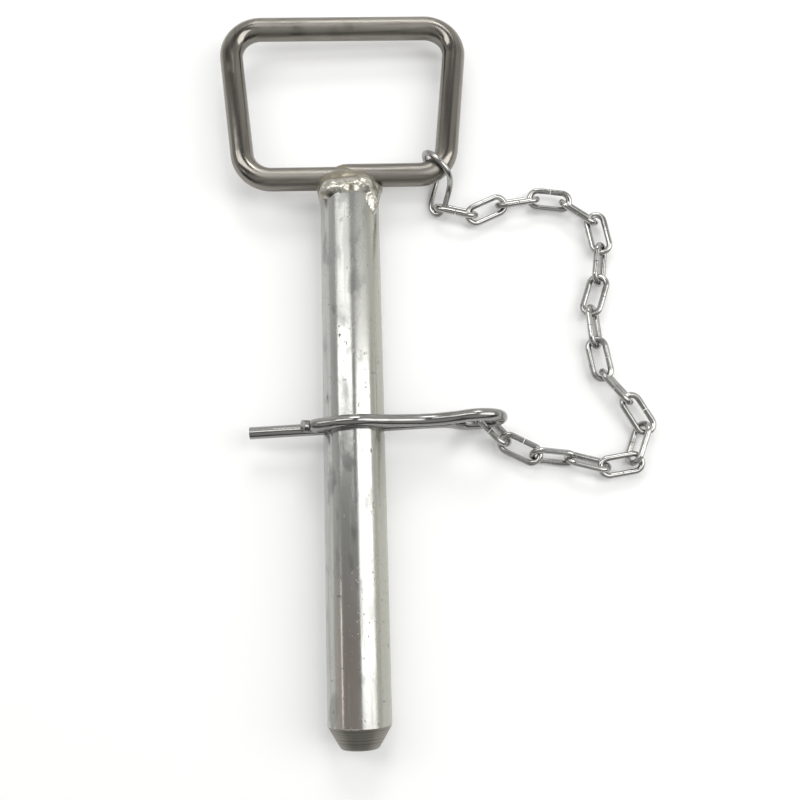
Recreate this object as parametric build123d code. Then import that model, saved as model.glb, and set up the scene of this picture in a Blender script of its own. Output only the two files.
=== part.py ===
from build123d import *
import math
import os

os.makedirs("parts", exist_ok=True)

# A retaining pin lying on the floor. Millimetres, +Z up. The shank's axis is the Y axis, the handle is
# towards +Y, and the origin is where the axis of the cross hole meets the shank's axis.

# Shank
shank_diameter = 25.0
shank_reach_up = 102.4
shank_reach_down = 124.3
shank_top_break = 1.6
tip_length = 8.4
tip_diameter = 15.4
tip_break = 0.5
hole_diameter = 6.6
hole_break = 0.7
cut_overrun = 5.0

# Handle, one rod bent to a trapezoid with its two ends meeting over the shank
rod_diameter = 10.0
handle_top_width = 101.7
handle_bottom_width = 86.5
handle_height = 72.0
left_end_gap = 1.7
right_end_gap = 3.0
handle_shift = -1.75
handle_roll = 2.0
rod_end_gap = 0.6
bend_radius = 13.0

# Weld, a ring of beads between the shank's end and the rod, and one where the rod's ends meet
bead_sizes = [5.0, 4.8, 4.9, 3.9, 4.6, 4.5, 4.3, 4.4, 4.6, 4.2, 4.5, 4.4]
bead_angles = [3, 34, 62, 88, 116, 147, 177, 212, 240, 268, 298, 330]
bead_ring_width = 22.0
bead_ring_height = 14.6
bead_ring_rise = 1.2
butt_bead_size = 6.8

# Spring clip, one wire with a straight leg, an eye and a waved leg
clip_wire = 5.0
clip_skew = 1.8
leg_reach = 42.6
neck_reach = 33.0
eye_reach = 49.8
eye_rise = 1.1
eye_radius = 10.5
eye_angles = [-118, -75, -30, 15, 60, 98, 126]
waist_reach = 31.0
waist_rise = 6.6
shoulder_reach = 19.5
shoulder_rise = 8.6
saddle_angles = [58, 74, 90, 106, 122]
saddle_gap = 0.25
fall_reach = 15.4
fall_rise = 8.2
leg_end_reach = 20.0
leg_end_rise = 9.4
leg_end_heading = 150

# Chain
link_wire = 2.5
link_inner_length = 15.0
link_outer_width = 9.8
end_link_inner_width = 5.8
link_slack = 0.65
seam_gap = 0.3
floor_gap = 0.05
# Compass headings and leans of the links in degrees, from the handle's end of the chain to the clip's
link_headings = [-14, 24, 8, -8, -36, -80, -98, -109, -87, -82, -52, -62, -112, 188, 164, 172, 152]
link_leans = [-57, 16, -60, 12, -58, 11, -54, 15, -53, 9, -62, 0, 58, -7, 54, -62, -6]
turning_link = 8
end_link_heading = 132
end_link_lean = 52
hang_angle = -58

# First link, a longer wire bent round the handle's corner
first_link_gap = 0.25
foot_gap = 0.12
first_link_side = -0.8
first_link_drop = 15.4
# Places along the wire, as shares of the wire's distance from the rod's centre, across and above the rod
round_rod_shares = [(-0.5, -0.94), (-0.98, -0.7), (-1.25, 0.0), (-0.75, 0.87), (0.15, 1.06), (0.95, 0.66)]
# Places past the rod, as shares of the drop, to the side, along the drop, and above the lowest place
free_end_shares = [
    (0.29, 0.67, 0.37),
    (0.22, 0.88, 0.27),
    (0.136, 1.07, 0.18),
    (-0.03, 1.175, 0.065),
    (-0.18, 1.03, 0.02),
    (-0.19, 0.77, 0.015),
    (-0.09, 0.36, 0.0),
]

shank_radius = shank_diameter / 2
rod_radius = rod_diameter / 2
wire_radius = link_wire / 2
clip_radius = clip_wire / 2
floor_height = -shank_radius


def direction(heading, rise=0):
    """The unit vector at a compass heading and a rise, both in degrees."""
    flat = math.cos(math.radians(rise))
    turn = math.radians(heading)
    return Vector(flat * math.cos(turn), flat * math.sin(turn), math.sin(math.radians(rise)))


def wire_along(path, radius):
    """A round wire along a path."""
    section = Plane(origin=path @ 0, z_dir=path % 0) * Circle(radius)
    return sweep(section, path=path)


# Shank with its turned tip and cross hole
profile = [
    (0, -shank_reach_down),
    (tip_diameter / 2 - tip_break, -shank_reach_down),
    (tip_diameter / 2, -shank_reach_down + tip_break),
    (shank_radius, -shank_reach_down + tip_length),
    (shank_radius, shank_reach_up - shank_top_break),
    (shank_radius - shank_top_break, shank_reach_up),
    (0, shank_reach_up),
]
shank = revolve(make_face(Polyline(profile, close=True)), axis=Axis.Y)
hole_half_length = shank_radius + cut_overrun
shank -= Rot(0, 90, 0) * Cylinder(hole_diameter / 2, 2 * hole_half_length)
mouth = Cone(hole_diameter / 2, hole_diameter / 2 + hole_break + cut_overrun, hole_break + cut_overrun)
mouth_centre = shank_radius + (cut_overrun - hole_break) / 2
shank -= Pos(mouth_centre, 0, 0) * Rot(0, 90, 0) * mouth
shank -= Pos(-mouth_centre, 0, 0) * Rot(0, -90, 0) * mouth

# Handle, bent flat and then rolled a little about the shank's axis
half_top = handle_top_width / 2
half_bottom = handle_bottom_width / 2
left_end_reach = shank_reach_up + left_end_gap + rod_radius
right_end_reach = shank_reach_up + right_end_gap + rod_radius
handle_top_reach = left_end_reach + handle_height
corner = Vector(handle_shift + half_bottom, right_end_reach)
top_corner = Vector(handle_shift + half_top, handle_top_reach)
side = (top_corner - corner).normalized()
inward = (side + Vector(-1, 0)).normalized()
half_angle = math.acos(side.dot(Vector(-1, 0))) / 2
bend_centre = corner + inward * (bend_radius / math.sin(half_angle))
corner_middle = bend_centre - inward * bend_radius
rolled = Rot(0, handle_roll, 0)
rod_path = FilletPolyline(
    (handle_shift - rod_end_gap / 2, left_end_reach),
    (handle_shift - half_bottom, left_end_reach),
    (handle_shift - half_top, handle_top_reach),
    top_corner,
    corner,
    (handle_shift + rod_end_gap / 2, right_end_reach),
    radius=bend_radius,
)
handle = rolled * wire_along(rod_path, rod_radius)

# Weld beads round the foot of the rod, cut back to the shank and the rod
bead_reach = shank_reach_up + left_end_gap / 2 + bead_ring_rise
butt_reach = (left_end_reach + right_end_reach) / 2
beads = [Pos(handle_shift, butt_reach, 0) * Rot(90, 0, 0) * Sphere(butt_bead_size)]
for size, angle in zip(bead_sizes, bead_angles):
    across = bead_ring_width / 2 * math.cos(math.radians(angle))
    above = bead_ring_height / 2 * math.sin(math.radians(angle))
    beads.append(Pos(across, bead_reach, above) * Rot(90, 0, 0) * Sphere(size))
weld = rolled * (beads[0] + beads[1:]) - shank - handle


# Spring clip, drawn in the XZ plane and then skewed in the hole
def eye_point(angle):
    """A place on the eye's centreline."""
    turn = math.radians(angle)
    return (eye_reach + eye_radius * math.cos(turn), eye_rise + eye_radius * math.sin(turn))


def saddle_point(angle):
    """A place on the waved leg's centreline where it lies over the shank."""
    turn = math.radians(angle)
    reach = shank_radius + clip_radius + saddle_gap
    return (reach * math.cos(turn), reach * math.sin(turn))


clip_bend = Spline(
    (neck_reach, 0),
    *[eye_point(angle) for angle in eye_angles],
    (waist_reach, waist_rise),
    (shoulder_reach, shoulder_rise),
    *[saddle_point(angle) for angle in saddle_angles],
    (-fall_reach, fall_rise),
    (-leg_end_reach, leg_end_rise),
    tangents=[(1, 0), direction(leg_end_heading)],
)
clip_path = Wire([Line((-leg_reach, 0), (neck_reach, 0)).edge(), clip_bend.edge()])
skewed = Rot(0, 0, clip_skew)
clip = skewed * Rot(90, 0, 0) * wire_along(clip_path, clip_radius)

# Sizes that the links share
half_width = (link_outer_width - link_wire) / 2
end_half_width = (end_link_inner_width + link_wire) / 2
end_wire = (link_inner_length + link_wire) / 2
steepest = max(abs(lean) for lean in link_leans)
chain_height = floor_height + wire_radius + half_width * math.sin(math.radians(steepest)) + floor_gap


def bent_link(half, seam_side):
    """A link with its long way along X and a butt seam in the middle of one leg."""
    turn_centre = end_wire - half
    ring = Circle(wire_radius)
    half_turn = revolve(Plane.XZ * Pos(half, 0) * ring, axis=Axis.Z, revolution_arc=180)
    whole_leg = extrude(Plane.YZ * ring, turn_centre, both=True)
    seam_leg = whole_leg - Box(seam_gap, link_wire + cut_overrun, link_wire + cut_overrun)
    return (
        Pos(turn_centre, 0, 0) * Rot(0, 0, -90) * half_turn
        + Pos(-turn_centre, 0, 0) * Rot(0, 0, 90) * half_turn
        + Pos(0, seam_side * half, 0) * seam_leg
        + Pos(0, -seam_side * half, 0) * whole_leg
    )


def placed(link, centre, along, lean):
    """A link at a centre, along a direction, its left leg raised by a positive lean."""
    left = Vector(0, 0, 1).cross(along).normalized()
    across = left * math.cos(math.radians(lean)) + along.cross(left) * math.sin(math.radians(lean))
    return Plane(origin=centre, x_dir=along, z_dir=along.cross(across)) * link


def turn_between(heading, other):
    """The turn from one heading to another, in degrees."""
    return (other - heading + 180) % 360 - 180


headings = link_headings + [end_link_heading]
leans = link_leans + [end_link_lean]


def set_back(index, neighbour):
    """How far a link's end wire is past its pivot. A pivot is on the end wire of the steeper link."""
    if abs(leans[index]) > abs(leans[neighbour]):
        return 0
    bend = math.radians(turn_between(headings[index], headings[neighbour]))
    return (link_wire + link_slack) / math.cos(bend / 2) ** 2


# First link, round the rod at the handle's lower right corner
rod_middle = (rolled * Pos(corner_middle)).position
outward = (rolled * Pos(corner_middle - inward)).position - rod_middle
above_rod = (rolled * Pos(0, 0, 1)).position
clear = rod_radius + wire_radius + first_link_gap
round_rod = [rod_middle + outward * (clear * a) + above_rod * (clear * b) for a, b in round_rod_shares]
foot = Vector(rod_middle.X, rod_middle.Y, floor_height + wire_radius + foot_gap)
free_end = [foot + Vector(a, -b, c) * first_link_drop for a, b, c in free_end_shares]
first_path = Spline(foot, *round_rod, *free_end, foot - Vector(0, seam_gap))
first_link = wire_along(first_path, wire_radius)
chain_start = Vector(rod_middle.X + first_link_side, rod_middle.Y - first_link_drop, chain_height)

# Last link, hung on the clip's eye
hang_x, hang_z = eye_point(hang_angle)
hang_point = (skewed * Pos(hang_x, 0, hang_z)).position
hang_turn = math.radians(hang_angle)
eye_tangent = (skewed * Pos(-math.sin(hang_turn), 0, math.cos(hang_turn))).position
last_flat = direction(end_link_heading)
last_reach = 2 * end_wire - (clip_radius + wire_radius + link_slack) / math.sqrt(1 - eye_tangent.dot(last_flat) ** 2)
last_rise = math.degrees(math.asin((hang_point.Z - chain_height) / last_reach))
last_along = direction(end_link_heading, last_rise)
chain_end = hang_point - last_along * last_reach

# Distances from pivot to pivot along the links between the first and the last
count = len(link_headings)
before = [0] + [set_back(i, i - 1) for i in range(1, count)]
after = [set_back(i, i + 1) for i in range(count)]
spans = [2 * end_wire - before[i] - after[i] for i in range(count)]


def span_vector(indices):
    """The way from the first to the last pivot of a run of links."""
    return sum((direction(link_headings[i]) * spans[i] for i in indices), Vector(0, 0, 0))


def heading_of(way):
    """The compass heading of a vector, in degrees."""
    return math.degrees(math.atan2(way.Y, way.X))


# The chain's two runs are turned as wholes until they meet, like the sides of a triangle
run_out = span_vector(range(turning_link))
run_back = span_vector(range(turning_link, count))
base = chain_end - chain_start
cosine = (run_out.length**2 + base.length**2 - run_back.length**2) / (2 * run_out.length * base.length)
meeting = direction(heading_of(base) + math.degrees(math.acos(cosine))) * run_out.length
turn_out = heading_of(meeting) - heading_of(run_out)
turn_back = heading_of(base - meeting) - heading_of(run_back)

pivots = [chain_start]
links = [first_link]
for i in range(count):
    along = direction(link_headings[i] + (turn_out if i < turning_link else turn_back))
    centre = pivots[i] + along * (end_wire - before[i])
    seam_side = 1 if i % 2 else -1
    links.append(placed(bent_link(half_width, seam_side), centre, along, link_leans[i]))
    pivots.append(pivots[i] + along * spans[i])
last_link = placed(bent_link(end_half_width, 1), chain_end + last_along * end_wire, last_along, end_link_lean)
links.append(last_link)

pieces = {"shank": shank, "handle": handle, "weld_bead": weld, "spring_clip": clip}
for number, link in enumerate(links, 1):
    pieces[f"link_{number:02d}"] = link
for name, piece in pieces.items():
    export_step(piece, f"parts/{name}.step")
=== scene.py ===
# %% [markdown]
# # A zinc-plated retaining pin with its spring clip and chain
# The pin lies on a white table and is seen from above. Its solids come from a CAD frame, which is loaded
# first and never moved. What is made here is the look: the light that steel needs around it, the finish of
# each piece, and the fused lumps of the weld.

# %% Load the frame
import math

import bmesh
import bpy
from mathutils import Matrix, Vector


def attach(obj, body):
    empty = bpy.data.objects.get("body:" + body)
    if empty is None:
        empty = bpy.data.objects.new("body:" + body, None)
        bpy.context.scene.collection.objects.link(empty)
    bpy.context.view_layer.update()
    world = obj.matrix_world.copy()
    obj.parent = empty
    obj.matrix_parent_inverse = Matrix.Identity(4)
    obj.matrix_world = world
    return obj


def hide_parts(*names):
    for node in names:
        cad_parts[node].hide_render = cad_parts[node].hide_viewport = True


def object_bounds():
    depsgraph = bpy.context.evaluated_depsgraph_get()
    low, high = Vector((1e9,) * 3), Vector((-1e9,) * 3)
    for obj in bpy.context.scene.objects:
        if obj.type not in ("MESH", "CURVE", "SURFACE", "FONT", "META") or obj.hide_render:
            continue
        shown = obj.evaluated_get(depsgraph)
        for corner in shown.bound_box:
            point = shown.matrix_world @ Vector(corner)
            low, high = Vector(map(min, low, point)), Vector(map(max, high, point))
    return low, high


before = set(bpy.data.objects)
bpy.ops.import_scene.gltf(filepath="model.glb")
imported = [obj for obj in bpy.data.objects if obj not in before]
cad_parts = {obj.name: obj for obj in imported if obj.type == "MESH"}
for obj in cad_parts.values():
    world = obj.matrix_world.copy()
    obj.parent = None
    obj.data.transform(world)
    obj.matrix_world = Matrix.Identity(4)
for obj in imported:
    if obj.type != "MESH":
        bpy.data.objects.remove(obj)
cad_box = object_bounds()
scene = bpy.context.scene
scene.view_settings.view_transform = "Standard"
MM = 0.001
print("CAD box in mm:", [[round(c / MM, 1) for c in corner] for corner in cad_box])

# %% [markdown]
# ## The camera
# A hand-held camera looked down on the table, a little from the tip's side. A tilt from straight down and a
# small roll are easier to read than three Euler angles, so the camera's matrix is built from those two turns.

# %% The photograph's camera
CAMERA_PLACE = Vector((19.1, -62.3, 363.0)) * MM
CAMERA_TILT = math.radians(11.37)
CAMERA_ROLL = math.radians(-1.72)
LENS = 40.5

camera = bpy.data.objects.new("camera", bpy.data.cameras.new("camera"))
camera.data.lens = LENS
camera.data.sensor_width = 36
camera.data.clip_start = MM
turn = Matrix.Rotation(CAMERA_TILT, 4, "X") @ Matrix.Rotation(CAMERA_ROLL, 4, "Z")
camera.matrix_world = Matrix.Translation(CAMERA_PLACE) @ turn
scene.collection.objects.link(camera)
scene.camera = camera
print("camera is", round(CAMERA_PLACE.z / MM), "mm above the shank's axis")

# %% [markdown]
# ## The table and the light
# Bare metal shows what is round it, so the light comes before the finishes. The shank has one long bright
# strip on each side: two windows do that, the left one nearer the handle and the right one nearer the tip.
# A narrow gap on the left draws the thin line by the tip, and a lamp behind the handle gives the shadows
# their direction. Between the windows the ceiling is dark, which gives the rod its dark middle, and the white
# table lights the rod's edges. The table glows a little for the rays that see it, and its shadows stay.

# %% White table
TABLE_SIZE = 3.0
TABLE_WHITE = (0.96, 0.96, 0.955, 1)
TABLE_GLOW = 0.15

table_mesh = bmesh.new()
bmesh.ops.create_grid(table_mesh, x_segments=1, y_segments=1, size=TABLE_SIZE)
bmesh.ops.translate(table_mesh, verts=table_mesh.verts, vec=(0, 0, cad_box[0][2]))
table = bpy.data.objects.new("table", bpy.data.meshes.new("table"))
table_mesh.to_mesh(table.data)
table_mesh.free()
scene.collection.objects.link(table)
print("table at", round(cad_box[0][2] / MM, 1), "mm")

# %% Table paint
table_paint = bpy.data.materials.new("table_white")
table_paint.use_nodes = True
table_nodes, table_links = table_paint.node_tree.nodes, table_paint.node_tree.links
table_shader = table_nodes["Principled BSDF"]
table_shader.inputs["Base Color"].default_value = TABLE_WHITE
table_shader.inputs["Roughness"].default_value = 0.8
table_shader.inputs["Specular IOR Level"].default_value = 0.1
glow = table_nodes.new("ShaderNodeEmission")
glow.inputs["Strength"].default_value = 1.0
ray = table_nodes.new("ShaderNodeLightPath")
seen = ray.outputs["Is Camera Ray"]
for kind in ("Is Glossy Ray", "Is Transmission Ray"):
    either = table_nodes.new("ShaderNodeMath")
    either.operation = "MAXIMUM"
    table_links.new(seen, either.inputs[0])
    table_links.new(ray.outputs[kind], either.inputs[1])
    seen = either.outputs[0]
share = table_nodes.new("ShaderNodeMath")
share.operation = "MULTIPLY"
share.inputs[1].default_value = TABLE_GLOW
table_links.new(seen, share.inputs[0])
glowing = table_nodes.new("ShaderNodeMixShader")
table_links.new(share.outputs[0], glowing.inputs["Fac"])
table_links.new(table_shader.outputs[0], glowing.inputs[1])
table_links.new(glow.outputs[0], glowing.inputs[2])
table_links.new(glowing.outputs[0], table_nodes["Material Output"].inputs["Surface"])
table.data.materials.append(table_paint)
print("table glow", TABLE_GLOW)

# %% Dark ceiling, pale walls and a dim wall on the near side
WALLS = (0.6, 0.6, 0.59, 1)
CEILING = (0.2, 0.2, 0.195, 1)
RIGHT_WALL = (0.7, 0.7, 0.685, 1)
BACK_WALL = (0.9, 0.9, 0.88, 1)
NEAR_WALL = (0.12, 0.12, 0.118, 1)
NEAR_CEILING = (0.58, 0.58, 0.57, 1)

room = bpy.data.worlds.new("room")
scene.world = room
room.use_nodes = True
room_nodes, room_links = room.node_tree.nodes, room.node_tree.links
look = room_nodes.new("ShaderNodeTexCoord")
direction = room_nodes.new("ShaderNodeSeparateXYZ")
room_links.new(look.outputs["Generated"], direction.inputs[0])


def room_blend(letter, low, high, first, second):
    """Two colours that change over smoothly along one axis of the room."""
    change = room_nodes.new("ShaderNodeMapRange")
    change.interpolation_type = "SMOOTHSTEP"
    change.inputs["From Min"].default_value = low
    change.inputs["From Max"].default_value = high
    room_links.new(direction.outputs[letter], change.inputs["Value"])
    mix = room_nodes.new("ShaderNodeMix")
    mix.data_type = "RGBA"
    room_links.new(change.outputs["Result"], mix.inputs[0])
    for socket, colour in ((mix.inputs[6], first), (mix.inputs[7], second)):
        if isinstance(colour, bpy.types.NodeSocket):
            room_links.new(colour, socket)
        else:
            socket.default_value = colour
    return mix.outputs[2]


sides = room_blend("Z", 0.2, 0.75, WALLS, CEILING)
both_sides = room_blend("X", 0.2, 0.6, sides, RIGHT_WALL)
far_half = room_blend("Y", 0.54, 0.7, both_sides, BACK_WALL)
near_half = room_blend("Z", 0.3, 0.6, NEAR_WALL, NEAR_CEILING)
whole_room = room_blend("Y", -0.35, -0.15, near_half, far_half)
room_links.new(whole_room, room_nodes["Background"].inputs["Color"])
print("room has", len(room_nodes), "nodes")


# %% Windows
def window(name, place, aim, width, height, brightness):
    """An area light at a place in metres, turned to its aim, with its power from area and brightness."""
    light = bpy.data.lights.new(name, "AREA")
    light.shape = "RECTANGLE"
    light.size = width
    light.size_y = height
    light.energy = brightness * math.pi * width * height
    lamp = bpy.data.objects.new(name, light)
    facing = (Vector(aim) - Vector(place)).to_track_quat("-Z", "Y")
    lamp.matrix_world = Matrix.Translation(place) @ facing.to_matrix().to_4x4()
    scene.collection.objects.link(lamp)
    print(name, round(light.energy, 1), "W")


window("left_window", (-0.7, 0.53, 1.32), (0, 0.53, 0), 0.52, 1.53, 3.1)
window("right_window", (0.96, 0.05, 1.15), (0, 0.05, 0), 0.8, 1.5, 2.9)
window("left_gap", (-1.27, -0.205, 0.8), (0, -0.09, 0), 0.27, 0.06, 4.0)
window("back_lamp", (0.1, 1.35, 1.15), (0, 0.1, 0), 0.6, 0.45, 7.0)

# %% [markdown]
# ## A way to build up a metal
# Every piece here is steel under a thin coat of zinc, and each shows its own making through it. A finish
# starts as plain metal, and marks are then laid over it one by one, each through a mask: a tint changes the
# colour, a polish changes the roughness and a relief changes the bump. The masks come from noise on Object
# coordinates, which are metres here, so a scale of 500 gives marks about two millimetres apart.


# %% Layered metal
class Finish:
    """A metal that marks are laid on. Masks are sockets that run from 0 to 1."""

    def __init__(self, name, colour, roughness, metallic=1.0):
        self.material = bpy.data.materials.new(name)
        self.material.use_nodes = True
        self.shader = self.material.node_tree.nodes["Principled BSDF"]
        self.shader.inputs["Base Color"].default_value = (*colour, 1)
        self.shader.inputs["Roughness"].default_value = roughness
        self.shader.inputs["Metallic"].default_value = metallic
        self.place = self.add("ShaderNodeTexCoord").outputs["Object"]

    def add(self, kind, inputs=None, **settings):
        """A node with its settings, and its inputs set or linked."""
        node = self.material.node_tree.nodes.new(kind)
        for name, value in settings.items():
            setattr(node, name, value)
        for key, value in (inputs or {}).items():
            self.feed(node.inputs[key], value)
        return node

    def feed(self, socket, value):
        """Link a socket to another, or set its value."""
        if isinstance(value, bpy.types.NodeSocket):
            self.material.node_tree.links.new(value, socket)
        else:
            socket.default_value = value

    def now(self, name):
        """What feeds one of the shader's inputs so far."""
        socket = self.shader.inputs[name]
        return socket.links[0].from_socket if socket.links else socket.default_value

    def axis(self, letter):
        """One coordinate of the surface, in metres."""
        return self.add("ShaderNodeSeparateXYZ", {0: self.place}).outputs[letter]

    def noise(self, scale, stretch=(1, 1, 1), detail=3.0):
        """Smooth noise, drawn out along each axis that has a small stretch."""
        spread = self.add("ShaderNodeMapping", {"Vector": self.place, "Scale": stretch})
        inputs = {"Vector": spread.outputs[0], "Scale": scale, "Detail": detail}
        return self.add("ShaderNodeTexNoise", inputs).outputs["Fac"]

    def dots(self, scale, radius):
        """Small round spots, one to a cell."""
        cells = self.add("ShaderNodeTexVoronoi", {"Vector": self.place, "Scale": scale})
        return self.between(cells.outputs["Distance"], radius, 0.0)

    def near(self, point, radius):
        """A mask that is 1 at a point, given in mm, and fades to 0 at a radius in mm."""
        gap = self.add("ShaderNodeVectorMath", {0: self.place, 1: Vector(point) * MM}, operation="DISTANCE")
        return self.between(gap.outputs["Value"], radius * MM, 0.0)

    def between(self, value, low, high):
        """A mask that goes smoothly from 0 at a low value to 1 at a high one."""
        inputs = {"Value": value, "From Min": low, "From Max": high}
        return self.add("ShaderNodeMapRange", inputs, interpolation_type="SMOOTHSTEP").outputs["Result"]

    def sum(self, operation, first, second):
        """Two masks or numbers put together by one operation of a math node."""
        return self.add("ShaderNodeMath", {0: first, 1: second}, operation=operation).outputs[0]

    def tint(self, mask, colour):
        """Lay a colour over what is there."""
        inputs = {0: mask, 6: self.now("Base Color"), 7: (*colour, 1)}
        mix = self.add("ShaderNodeMix", inputs, data_type="RGBA")
        self.feed(self.shader.inputs["Base Color"], mix.outputs[2])

    def polish(self, mask, roughness):
        """Lay a roughness over what is there."""
        mix = self.add("ShaderNodeMix", {0: mask, 2: self.now("Roughness"), 3: roughness})
        self.feed(self.shader.inputs["Roughness"], mix.outputs[0])

    def relief(self, height, depth, strength=1.0):
        """Raise the surface by a mask, to a depth in metres."""
        inputs = {"Height": height, "Distance": depth, "Strength": strength}
        if self.shader.inputs["Normal"].links:
            inputs["Normal"] = self.now("Normal")
        bump = self.add("ShaderNodeBump", inputs)
        self.feed(self.shader.inputs["Normal"], bump.outputs[0])


def dress(node, finish):
    """Give a CAD node its finish."""
    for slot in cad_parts[node].material_slots:
        slot.material = finish.material


# %% [markdown]
# ## The shank
# The shank is drawn bar: bright, with long faint streaks, and pitted and nicked from use. The zinc has dulled
# in patches, a little pink towards the tip. The tip was turned to a cone afterwards, so it is matt, dark and
# ringed.

# %% Bright drawn bar
ALONG_SHANK = (1, 0.05, 1)
AROUND_SHANK = (0.0, 1, 0.0)
TIP_EDGE = -115.9 * MM

shank = Finish("shank_zinc", (0.46, 0.46, 0.44), 0.17, metallic=0.8)
streaks = shank.noise(420, ALONG_SHANK, 4)
patches = shank.noise(45, (1, 0.4, 1), 5)
mottle = shank.noise(170, (1, 0.45, 1), 6)
shank.tint(shank.between(streaks, 0.45, 0.75), (0.37, 0.37, 0.35))
shank.tint(shank.between(patches, 0.52, 0.72), (0.39, 0.39, 0.37))
shank.tint(shank.between(mottle, 0.52, 0.66), (0.29, 0.295, 0.28))
pink_end = shank.between(shank.axis("Y"), -40 * MM, -95 * MM)
left_of_middle = shank.between(shank.axis("X"), 3 * MM, -1 * MM)
off_the_edge = shank.between(shank.axis("X"), -10 * MM, -6 * MM)
pink_side = shank.sum("MULTIPLY", left_of_middle, off_the_edge)
shank.tint(shank.between(shank.axis("X"), 4 * MM, 10 * MM), (0.42, 0.42, 0.37))
shank.tint(shank.sum("MULTIPLY", pink_end, pink_side), (0.46, 0.41, 0.375))
shank.polish(shank.between(patches, 0.45, 0.7), 0.28)
shank.polish(shank.between(streaks, 0.55, 0.75), 0.34)
shank.relief(shank.noise(260, ALONG_SHANK, 3), 0.12 * MM, 0.35)
shank.relief(shank.noise(900, (1, 0.5, 1), 2), 0.03 * MM, 0.5)

# %% Pits and nicks
worn = shank.between(shank.noise(70, (1, 0.6, 1), 3), 0.46, 0.64)
specks = shank.sum("MULTIPLY", shank.between(shank.noise(1000, (1, 0.6, 1), 4), 0.64, 0.7), worn)
nicks = shank.between(shank.noise(560, (1, 0.4, 1), 4), 0.68, 0.73)
scuffs = shank.between(shank.noise(420, (0.35, 1, 0.35), 4), 0.7, 0.75)
marks = shank.sum("MAXIMUM", specks, shank.sum("MAXIMUM", nicks, scuffs))
shank.tint(shank.sum("MULTIPLY", marks, 0.7), (0.17, 0.165, 0.15))
shank.polish(marks, 0.55)
shank.relief(marks, -0.05 * MM, 0.4)

# %% Turned tip
tip = shank.between(shank.axis("Y"), TIP_EDGE + 0.15 * MM, TIP_EDGE - 0.15 * MM)
rings = shank.noise(1500, AROUND_SHANK, 3)
shank.tint(tip, (0.25, 0.24, 0.208))
shank.tint(shank.sum("MULTIPLY", tip, shank.between(rings, 0.46, 0.56)), (0.17, 0.163, 0.14))
shank.polish(tip, 0.38)
shank.relief(shank.sum("MULTIPLY", tip, rings), 0.15 * MM, 0.9)
dress("shank", shank)
print("shank finish has", len(shank.material.node_tree.nodes), "nodes")

# %% [markdown]
# ## The handle
# The handle was bent from drawn rod, so its streaks follow the rod: along the table's X on the two cross runs
# and along Y on the sides. Two noises, one drawn out each way, are joined by a mask that changes over at the
# bends.

# %% Darker drawn rod
SIDE_START = 36 * MM
SIDE_END = 44 * MM

rod = Finish("rod_zinc", (0.23, 0.215, 0.192), 0.15)
on_side = rod.between(rod.sum("ABSOLUTE", rod.axis("X"), 0.0), SIDE_START, SIDE_END)
across_marks = rod.noise(520, (0.05, 1, 1), 4)
side_marks = rod.noise(520, (1, 0.05, 1), 4)
drawn = rod.add("ShaderNodeMix", {0: on_side, 2: across_marks, 3: side_marks}).outputs[0]
dull = rod.noise(70, (1, 1, 1), 4)
across = rod.sum("SUBTRACT", 1.0, on_side)
# The cross runs are tinted paler as a painted reflection of the pale band that the light lays along their
# crests; their rougher polish is the rod's own
rod.tint(across, (0.26, 0.244, 0.218))
rod.polish(across, 0.4)
rod.tint(rod.between(drawn, 0.5, 0.72), (0.17, 0.159, 0.14))
rod.tint(rod.between(dull, 0.52, 0.72), (0.2, 0.187, 0.166))
rod.polish(rod.between(dull, 0.55, 0.75), 0.26)
specks = rod.sum("MULTIPLY", rod.dots(480, 0.16), rod.between(dull, 0.5, 0.6))
rod.tint(specks, (0.08, 0.08, 0.075))
rod.relief(drawn, 0.06 * MM, 0.4)
rod.relief(rod.noise(180, (1, 1, 1), 2), 0.1 * MM, 0.25)
dress("handle", rod)

# %% [markdown]
# ## The spring clip and the chain
# The clip is hard spring wire, a little darker than the shank. The chain is soft bright wire that has gone
# grey in patches.

# %% Spring wire
wire = Finish("clip_zinc", (0.3, 0.296, 0.284), 0.15)
wire_drawn = wire.noise(700, (0.06, 1, 1), 3)
wire.tint(wire.between(wire_drawn, 0.5, 0.75), (0.21, 0.207, 0.2))
wire.polish(wire.between(wire.noise(90), 0.45, 0.7), 0.28)
wire.relief(wire_drawn, 0.04 * MM, 0.4)
dress("spring_clip", wire)

# %% Bright chain wire
chain = Finish("chain_zinc", (0.43, 0.425, 0.41), 0.14)
grime = chain.noise(150, (1, 1, 1), 3)
chain.tint(chain.between(grime, 0.5, 0.7), (0.27, 0.266, 0.254))
chain.polish(chain.between(grime, 0.45, 0.7), 0.24)
chain.relief(chain.noise(700), 0.02 * MM, 0.25)
link_nodes = sorted(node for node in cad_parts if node.startswith("link_"))
for node in link_nodes:
    dress(node, chain)
print(len(link_nodes), "links dressed")

# %% [markdown]
# ## The weld
# A weld is a row of drops that ran into each other and into the steel. The CAD holds it as balls cut clean
# against the rod and the shank. Here the drops are long and flat where the metal ran, a flattened cone widens
# the shank's end towards the rod, and short stubs of the rod and the shank are put among them. A voxel remesh
# makes one skin of them all, smoothing draws fillets between them, and a fine cloud pattern roughens it. The
# stubs are a little thinner than the steel, so they stay hidden in it.

# %% Drops and stubs
SHANK_RADIUS = 12.5 * MM
SHANK_END = 102.4 * MM
ROD_RADIUS = 5.0 * MM
HIDDEN = 0.5 * MM
ROD_ROLL = math.radians(2.0)
ROD_LEFT_END = Vector((-1.75, 109.1, 0)) * MM
ROD_RIGHT_END = Vector((-1.75, 110.4, 0)) * MM
STUB_LENGTH = 15 * MM
SHANK_STUB = 9 * MM
SKIRT_WIDE = 14.4 * MM
SKIRT_LENGTH = 9 * MM
SKIRT_BEYOND_SHANK = 2 * MM
SKIRT_FLATTENING = 0.82
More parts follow.
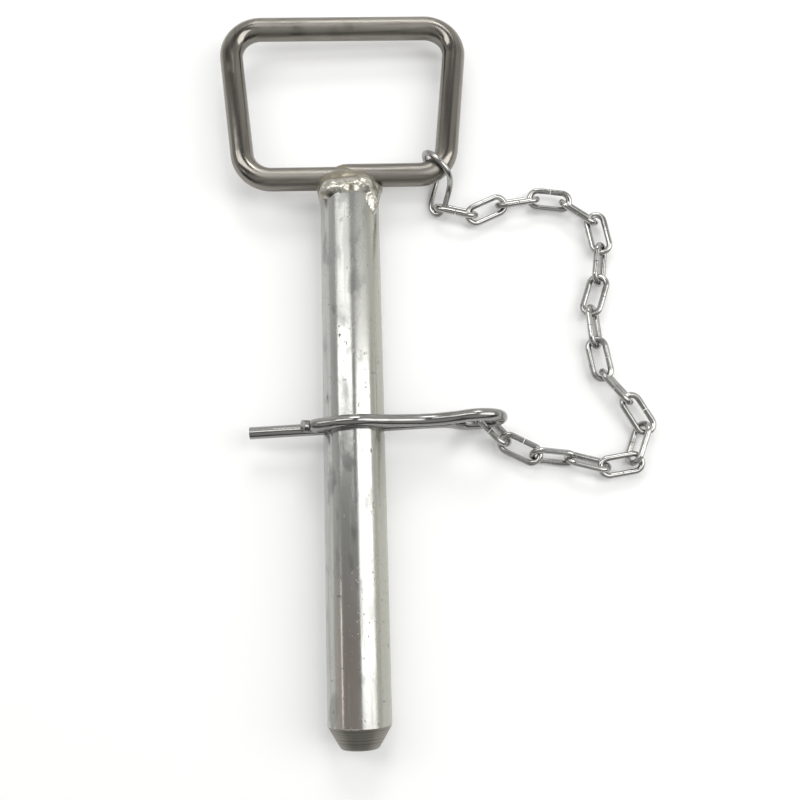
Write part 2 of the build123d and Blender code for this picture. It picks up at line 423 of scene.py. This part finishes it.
# Middles and half sizes of the drops in mm
DROPS = {
    "slope to the rod": ((-1.0, 105.4, 2.2), (13.0, 5.8, 7.8)),
    "left lump": ((-6.2, 100.4, 7.2), (6.4, 4.8, 5.6)),
    "left lump's ridge": ((-1.6, 100.2, 9.4), (5.0, 4.2, 4.3)),
    "saddle": ((1.6, 100.4, 9.0), (4.6, 5.2, 4.4)),
    "right lump": ((5.8, 101.4, 8.0), (5.2, 5.0, 5.2)),
    "run down the right": ((8.6, 96.0, 5.8), (4.2, 8.0, 4.3)),
    "left drop beneath": ((-7.0, 103.4, -6.0), (5.4, 4.6, 4.9)),
    "middle drop beneath": ((0.4, 103.4, -7.0), (5.2, 4.8, 4.9)),
    "right drop beneath": ((7.2, 103.6, -5.8), (5.0, 4.6, 4.9)),
    "fill of the rod's butt": ((-1.75, 109.75, 0.1), (7.0, 5.4, 5.4)),
}

weld_shape = bmesh.new()
for middle, halves in DROPS.values():
    place = Matrix.LocRotScale(Vector(middle) * MM, None, Vector(halves) * MM)
    bmesh.ops.create_icosphere(weld_shape, subdivisions=4, radius=1.0, matrix=place)


def taper(place, radius1, radius2, depth, segments):
    """Add a closed cone or cylinder to the weld's shape."""
    bmesh.ops.create_cone(
        weld_shape,
        cap_ends=True,
        segments=segments,
        radius1=radius1,
        radius2=radius2,
        depth=depth,
        matrix=place,
    )


lying = Matrix.Rotation(math.pi / 2, 4, "X")
stub_place = Matrix.Translation((0, SHANK_END - SHANK_STUB / 2 - HIDDEN, 0)) @ lying
stub_size = SHANK_RADIUS - HIDDEN
taper(stub_place, stub_size, stub_size, SHANK_STUB, segments=96)
skirt_middle = SHANK_END + SKIRT_BEYOND_SHANK - SKIRT_LENGTH / 2
skirt_place = Matrix.Translation((0, skirt_middle, 0)) @ lying
skirt_place = Matrix.Diagonal((1, 1, SKIRT_FLATTENING, 1)) @ skirt_place
taper(skirt_place, SKIRT_WIDE, stub_size, SKIRT_LENGTH, segments=96)
rolled = Matrix.Rotation(ROD_ROLL, 4, "Y")
thin = ROD_RADIUS - HIDDEN
for end, side in ((ROD_LEFT_END, -1), (ROD_RIGHT_END, 1)):
    middle = end + Vector((side * STUB_LENGTH / 2, 0, 0))
    run = rolled @ Matrix.Translation(middle) @ Matrix.Rotation(math.pi / 2, 4, "Y")
    taper(run, thin, thin, STUB_LENGTH, segments=48)

# %% One skin
VOXEL = 0.35 * MM
FILLET_STEPS = 36
SETTLE_STEPS = 3
CRAG_SIZE = 3.4 * MM
CRAG_DEPTH = 0.9 * MM
CRAG_LEVEL = 0.5

weld = bpy.data.objects.new("weld_lumps", bpy.data.meshes.new("weld_lumps"))
weld_shape.to_mesh(weld.data)
weld_shape.free()
scene.collection.objects.link(weld)
skin = weld.modifiers.new("skin", "REMESH")
skin.mode = "VOXEL"
skin.voxel_size = VOXEL
skin.use_smooth_shade = True
fillet = weld.modifiers.new("fillet", "SMOOTH")
fillet.iterations = FILLET_STEPS
clouds = bpy.data.textures.new("crags", "CLOUDS")
clouds.noise_scale = CRAG_SIZE
crags = weld.modifiers.new("crags", "DISPLACE")
crags.texture = clouds
crags.strength = CRAG_DEPTH
crags.mid_level = CRAG_LEVEL
settle = weld.modifiers.new("settle", "SMOOTH")
settle.iterations = SETTLE_STEPS
fused = bpy.data.meshes.new_from_object(weld.evaluated_get(bpy.context.evaluated_depsgraph_get()))
weld.modifiers.clear()
weld.data = fused
print("weld skin has", len(fused.polygons), "faces")

# %% Ripples, scale and painted shade on the weld
bead = Finish("weld_zinc", (0.52, 0.505, 0.45), 0.24, metallic=0.8)
lumps = bead.noise(330, (1, 1, 1), 4)
heated = bead.between(bead.axis("Y"), SHANK_END, 105.0 * MM)
bead.tint(heated, (0.27, 0.245, 0.19))
bead.tint(bead.near((1.4, 100.0, 13), 4.5), (0.33, 0.31, 0.255))
bead.tint(bead.between(lumps, 0.5, 0.62), (0.33, 0.31, 0.255))
# A very dark spot in the crevice under the left lump is painted shade, not a colour of the weld
bead.tint(bead.near((-7.0, 96.6, 10.5), 3.4), (0.1, 0.095, 0.08))
bead.tint(bead.between(bead.noise(800), 0.64, 0.72), (0.17, 0.158, 0.13))
bead.polish(heated, 0.4)
bead.polish(bead.between(lumps, 0.45, 0.65), 0.4)
bead.relief(lumps, 0.3 * MM, 0.4)
bead.relief(bead.noise(1200, (1, 1, 1), 3), 0.08 * MM, 0.4)
weld.data.materials.clear()
weld.data.materials.append(bead.material)
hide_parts("weld_bead")
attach(weld, "pin")
